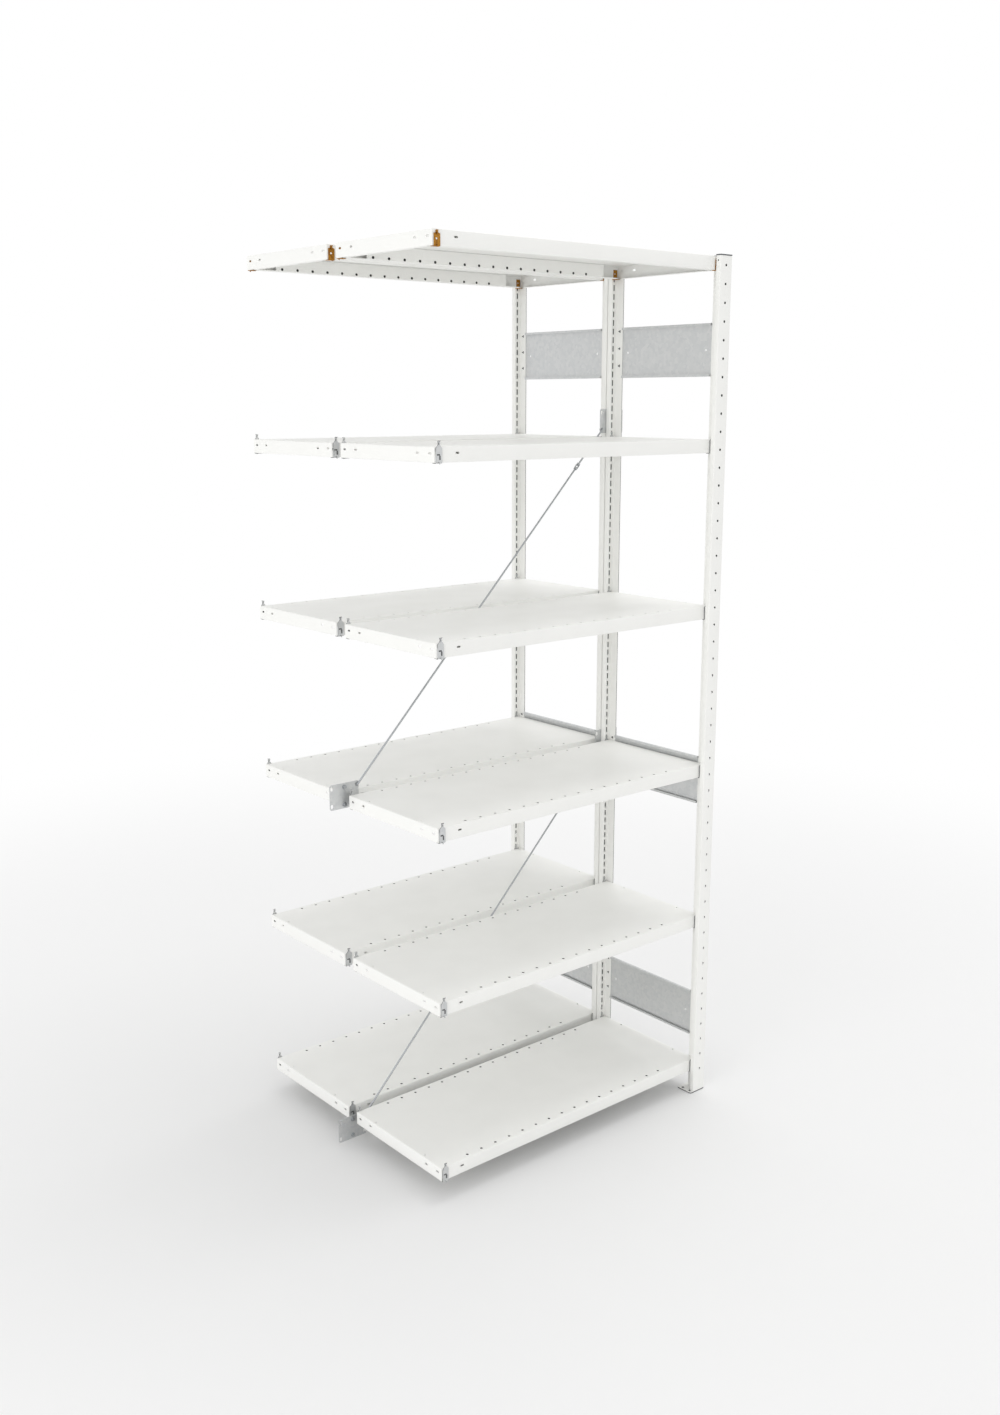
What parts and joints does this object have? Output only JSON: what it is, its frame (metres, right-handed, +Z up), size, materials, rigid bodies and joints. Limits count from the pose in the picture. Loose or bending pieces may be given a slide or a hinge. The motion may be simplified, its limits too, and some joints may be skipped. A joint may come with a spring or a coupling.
{
  "type": "metal shelving add-on bay",
  "caption": "Double-depth add-on bay of white steel pan shelves hung on clips between slotted frames at one end, with a diagonal rod brace between the rows.",
  "frame": {"origin": "on the floor, at the centre of the bay's plan", "axes": "+X along the shelves towards the frames, +Y from the front row to the rear row, +Z up the uprights"},
  "size_m": [1.1, 0.8788, 2.5033],
  "materials": {
    "white_powder_coat": "satin powder coat",
    "galvanised_steel": "galvanised, fine spangle",
    "yellow_passivated_steel": "yellow passivated zinc on spring steel",
    "grey_plastic": "matte moulded cap"
  },
  "bodies": {
    "frame": {"upright_1": "white_powder_coat", "cap_1": "grey_plastic", "foot_1": "white_powder_coat", "upright_2": "white_powder_coat", "cap_2": "grey_plastic", "foot_2": "white_powder_coat", "upright_3": "white_powder_coat", "cap_3": "grey_plastic", "foot_3": "white_powder_coat", "upright_4": "white_powder_coat", "cap_4": "grey_plastic", "foot_4": "white_powder_coat", "plate_front_1": "galvanised_steel", "plate_front_2": "galvanised_steel", "plate_front_3": "galvanised_steel", "plate_rear_1": "galvanised_steel", "plate_rear_2": "galvanised_steel", "plate_rear_3": "galvanised_steel", "bracket_left_low": "galvanised_steel", "bracket_left_middle": "galvanised_steel", "bracket_right_middle": "galvanised_steel", "bracket_right_high": "galvanised_steel", "brace_rod_1": "galvanised_steel", "brace_rod_2": "galvanised_steel"},
    "shelf_front_1": {"shelf_front_1": "white_powder_coat", "clip_front_1": "galvanised_steel"},
    "shelf_front_2": {"shelf_front_2": "white_powder_coat", "clip_front_2": "galvanised_steel"},
    "shelf_front_3": {"shelf_front_3": "white_powder_coat", "clip_front_3": "galvanised_steel"},
    "shelf_front_4": {"shelf_front_4": "white_powder_coat", "clip_front_4": "galvanised_steel"},
    "shelf_front_5": {"shelf_front_5": "white_powder_coat", "clip_front_5": "galvanised_steel"},
    "shelf_front_6": {"shelf_front_6": "white_powder_coat", "clip_front_6": "yellow_passivated_steel"},
    "shelf_rear_1": {"shelf_rear_1": "white_powder_coat", "clip_rear_1": "galvanised_steel"},
    "shelf_rear_2": {"shelf_rear_2": "white_powder_coat", "clip_rear_2": "galvanised_steel"},
    "shelf_rear_3": {"shelf_rear_3": "white_powder_coat", "clip_rear_3": "galvanised_steel"},
    "shelf_rear_4": {"shelf_rear_4": "white_powder_coat", "clip_rear_4": "galvanised_steel"},
    "shelf_rear_5": {"shelf_rear_5": "white_powder_coat", "clip_rear_5": "galvanised_steel"},
    "shelf_rear_6": {"shelf_rear_6": "white_powder_coat", "clip_rear_6": "yellow_passivated_steel"},
    "tensioner_1": {"tensioner_1": "galvanised_steel"},
    "tensioner_2": {"tensioner_2": "galvanised_steel"}
  },
  "joints": [
    {"name": "lift_front_1", "type": "slide", "parent": "frame", "child": "shelf_front_1", "axis": [0, 0, 1], "range_m": [0, 0.01]},
    {"name": "lift_front_2", "type": "slide", "parent": "frame", "child": "shelf_front_2", "axis": [0, 0, 1], "range_m": [0, 0.01]},
    {"name": "lift_front_3", "type": "slide", "parent": "frame", "child": "shelf_front_3", "axis": [0, 0, 1], "range_m": [0, 0.01]},
    {"name": "lift_front_4", "type": "slide", "parent": "frame", "child": "shelf_front_4", "axis": [0, 0, 1], "range_m": [0, 0.01]},
    {"name": "lift_front_5", "type": "slide", "parent": "frame", "child": "shelf_front_5", "axis": [0, 0, 1], "range_m": [0, 0.01]},
    {"name": "lift_front_6", "type": "slide", "parent": "frame", "child": "shelf_front_6", "axis": [0, 0, 1], "range_m": [0, 0.01]},
    {"name": "lift_rear_1", "type": "slide", "parent": "frame", "child": "shelf_rear_1", "axis": [0, 0, 1], "range_m": [0, 0.01]},
    {"name": "lift_rear_2", "type": "slide", "parent": "frame", "child": "shelf_rear_2", "axis": [0, 0, 1], "range_m": [0, 0.01]},
    {"name": "lift_rear_3", "type": "slide", "parent": "frame", "child": "shelf_rear_3", "axis": [0, 0, 1], "range_m": [0, 0.01]},
    {"name": "lift_rear_4", "type": "slide", "parent": "frame", "child": "shelf_rear_4", "axis": [0, 0, 1], "range_m": [0, 0.01]},
    {"name": "lift_rear_5", "type": "slide", "parent": "frame", "child": "shelf_rear_5", "axis": [0, 0, 1], "range_m": [0, 0.01]},
    {"name": "lift_rear_6", "type": "slide", "parent": "frame", "child": "shelf_rear_6", "axis": [0, 0, 1], "range_m": [0, 0.01]},
    {"name": "tensioner_turn_1", "type": "hinge", "parent": "frame", "child": "tensioner_1", "pos_m": [0.35697, -0.00405, 0.91742], "axis": [0.6968, 0, 0.7172], "continuous": true},
    {"name": "tensioner_turn_2", "type": "hinge", "parent": "frame", "child": "tensioner_2", "pos_m": [0.35697, -0.00405, 1.91742], "axis": [0.6968, 0, 0.7172], "continuous": true}
  ]
}
